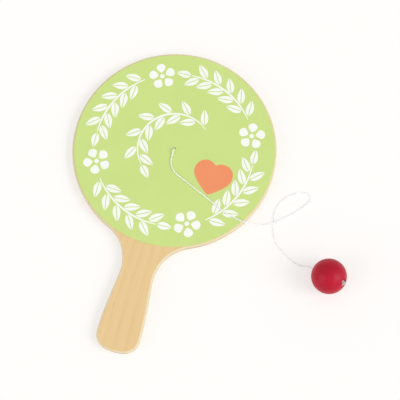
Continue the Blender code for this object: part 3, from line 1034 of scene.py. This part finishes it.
def ball_profile():
    pocket_floor_height = BALL_RADIUS - KNOT_POCKET_DEPTH
    rim = ball_skin(POCKET_RADIUS)
    mouth = ball_skin(BORE_RADIUS)
    wide_rim = POCKET_RADIUS + MOUTH_EDGE
    wide_mouth = BORE_RADIUS + MOUTH_EDGE
    in_pocket = (POCKET_RADIUS, rim - MOUTH_EDGE)
    in_bore = (BORE_RADIUS, MOUTH_EDGE - mouth)
    pocket_edge = eased((wide_rim, ball_skin(wide_rim)), (POCKET_RADIUS, rim), in_pocket)
    bore_edge = eased(in_bore, (BORE_RADIUS, -mouth), (wide_mouth, -ball_skin(wide_mouth)))
    start = -math.acos(wide_mouth / BALL_RADIUS)
    end = math.acos(wide_rim / BALL_RADIUS)
    steps = round((end - start) / BALL_STEP)
    skin = []
    for i in range(1, steps):
        angle = start + (end - start) * i / steps
        if abs(angle) * BALL_RADIUS > SEAM_WIDTH:
            skin.append((BALL_RADIUS, angle))
    seam = [(BALL_RADIUS + SEAM_HEIGHT * h, SEAM_WIDTH * x / BALL_RADIUS) for x, h in SEAM_SHAPE]
    skin = sorted([*skin, *seam], key=lambda point: point[1])
    skin = [(r * math.cos(a), r * math.sin(a)) for r, a in skin]
    pocket_bottom = [(POCKET_RADIUS, pocket_floor_height), (BORE_RADIUS, pocket_floor_height)]
    return [*bore_edge, *skin, *pocket_edge, *pocket_bottom]


ball = turned("rubber_ball", ball_profile(), BALL_SIDES, rubber_finish(), BALL, BORE)
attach(ball, "ball")
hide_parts("ball")

# %% [markdown]
# The toy lies on a plain white sweep. Half of what the camera sees of it is white paint, which keeps
# the toy's shadow, and half is an even white glow. So the ground stays pale and the shadows weak, as
# in the photograph. Only the camera and mirrored rays see the glow, so it adds no light to the toy.

# %% Lay the floor
FLOOR_SIZE = 6.0
FLOOR_GLOW = 0.52
GLOW_STRENGTH = 1.04


def floor_finish():
    paint = Paint(bpy.data.materials.new("white_sweep"))
    place = paint.node("ShaderNodeTexCoord", output="Object")
    patches = paint.noise(place, (9.0, 9.0, 9.0), 2.0)
    colour = paint.mixed(patches, seen(255, 254, 252), seen(254, 253, 251))
    surface = paint.node("ShaderNodeBsdfDiffuse", None, {"Color": colour})
    glow = paint.node("ShaderNodeEmission", None, {"Color": seen(255, 252, 249), "Strength": GLOW_STRENGTH})
    return paint.end_in("Material Output", paint.shown() * FLOOR_GLOW, surface, glow)


half_floor = FLOOR_SIZE / 2
corners = [(x * half_floor, y * half_floor, -TABLE_GAP) for x, y in ((-1, -1), (1, -1), (1, 1), (-1, 1))]
floor = piece_from("floor", corners, [(0, 1, 2, 3)], floor_finish())
floor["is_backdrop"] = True

# %% [markdown]
# The light is a bright even studio. Most of it comes from all round. A large soft lamp on the right
# gives the toy its weak shadow on the left, and a fill lamp nearer the handle softens that shadow. A
# third lamp, low on the left, lifts the sides that turn away from the key. All together they show a
# white surface at just under full white, so every colour comes out about as it is written.

# %% Light the toy
AMBIENT = 0.61
KEY_SHARE = 0.24
KEY_TOWARDS = (1.00, 0.02)
KEY_HEIGHT = 37
KEY_SPREAD = 34
FILL_SHARE = 0.04
FILL_TOWARDS = (0.80, -0.60)
FILL_HEIGHT = 32
FILL_SPREAD = 34
LEFT_SHARE = 0.09
LEFT_TOWARDS = (-1.00, -0.80)
LEFT_HEIGHT = 30
LEFT_SPREAD = 40


def soft_lamp(name, towards, height, spread, share):
    """A far, wide lamp that adds its share of white to a white floor. Angles in degrees."""
    data = bpy.data.lights.new(name, "SUN")
    data.angle = math.radians(spread)
    rise = math.radians(height)
    data.energy = share * math.pi / math.sin(rise)
    made = bpy.data.objects.new(name, data)
    bpy.context.scene.collection.objects.link(made)
    way = Vector((*towards, 0.0)).normalized() * math.cos(rise) + Vector((0.0, 0.0, math.sin(rise)))
    made.rotation_euler = way.to_track_quat("Z", "Y").to_euler()
    print(name, "strength", round(data.energy, 2))


soft_lamp("key_lamp", KEY_TOWARDS, KEY_HEIGHT, KEY_SPREAD, KEY_SHARE)
soft_lamp("fill_lamp", FILL_TOWARDS, FILL_HEIGHT, FILL_SPREAD, FILL_SHARE)
soft_lamp("left_lamp", LEFT_TOWARDS, LEFT_HEIGHT, LEFT_SPREAD, LEFT_SHARE)

studio = Paint(bpy.data.worlds.new("studio"))
studio.tree.nodes.remove(studio.tree.nodes["Background"])
around = studio.node("ShaderNodeBackground", None, {"Color": WHITE, "Strength": AMBIENT})
backdrop = studio.node("ShaderNodeBackground", None, {"Color": WHITE, "Strength": 1.0})
bpy.context.scene.world = studio.end_in("World Output", studio.shown(), around, backdrop)
bpy.context.scene.view_settings.view_transform = "Standard"

# %% [markdown]
# Last, the sizes. The finished toy's box is worked out, and its size is printed beside the imported
# model's.

# %% Measure and finish
finished_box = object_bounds()
boxes = {"cad": [list(corner) for corner in cad_box], "visual": [list(corner) for corner in finished_box]}
for box_name, (low, high) in boxes.items():
    print(box_name, "size, mm:", [round((b - a) * 1000, 1) for a, b in zip(low, high)])
